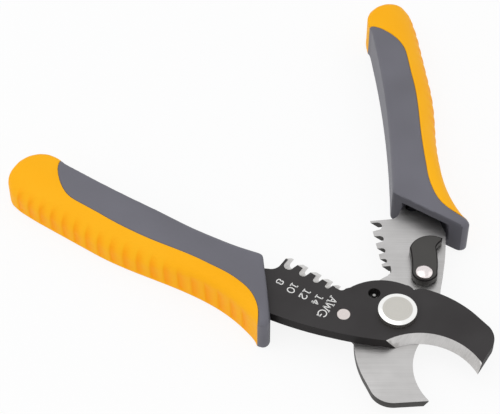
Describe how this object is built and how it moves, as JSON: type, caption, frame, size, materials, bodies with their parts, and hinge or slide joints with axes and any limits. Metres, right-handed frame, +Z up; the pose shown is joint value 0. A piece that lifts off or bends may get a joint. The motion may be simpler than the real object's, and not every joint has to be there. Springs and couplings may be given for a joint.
{
  "type": "wire stripping pliers",
  "caption": "Hand pliers with hooked cable-cutting jaws, graduated wire stripping notches behind the pivot, a return spring, a locking latch and two-colour handles.",
  "frame": {"origin": "on the pivot axis, at the flat end of the pivot bolt and nut, level with the undersides of the handles that the tool rests on", "axes": "+Z up along the pivot axis, +X from the pivot towards the jaws along the line where the blades meet when closed, +Y to the side that the movable handle opens to"},
  "size_m": [0.1918, 0.1695, 0.016],
  "materials": {
    "blackened_steel": "black oxide, satin",
    "ground_steel": "fine ground",
    "turned_steel": "turned and polished",
    "spring_steel": "drawn wire",
    "grey_plastic": "fine matt texture",
    "amber_plastic": "smooth satin"
  },
  "bodies": {
    "fixed_half": {"upper_blade": "blackened_steel", "pivot_bolt": "turned_steel", "pivot_washer": "turned_steel", "pivot_nut": "turned_steel", "spring_collar": "turned_steel", "return_spring": "spring_steel", "stop_pin": "turned_steel", "left_handle_body": "grey_plastic", "left_grip_jacket": "amber_plastic", "left_tang_pins": "turned_steel"},
    "moving_half": {"lower_blade": "ground_steel", "latch_rivet": "turned_steel", "latch_wave_washer": "spring_steel", "latch_back_washer": "turned_steel", "right_handle_body": "grey_plastic", "right_grip_jacket": "amber_plastic", "right_tang_pins": "turned_steel"},
    "latch": {"latch_lever": "blackened_steel"}
  },
  "joints": [
    {"name": "jaw_hinge", "type": "hinge", "parent": "fixed_half", "child": "moving_half", "pos_m": [0, 0, 0.008], "axis": [0, 0, 1], "range_deg": [0, 49.3], "stiffness_Nm_per_rad": 0.5, "springref_deg": -22.92, "deforming": ["return_spring"]},
    {"name": "latch_pivot", "type": "hinge", "parent": "moving_half", "child": "latch", "pos_m": [-0.00151, 0.02139, 0.0085], "axis": [0, 0, 1], "range_deg": [-110, 0]}
  ]
}
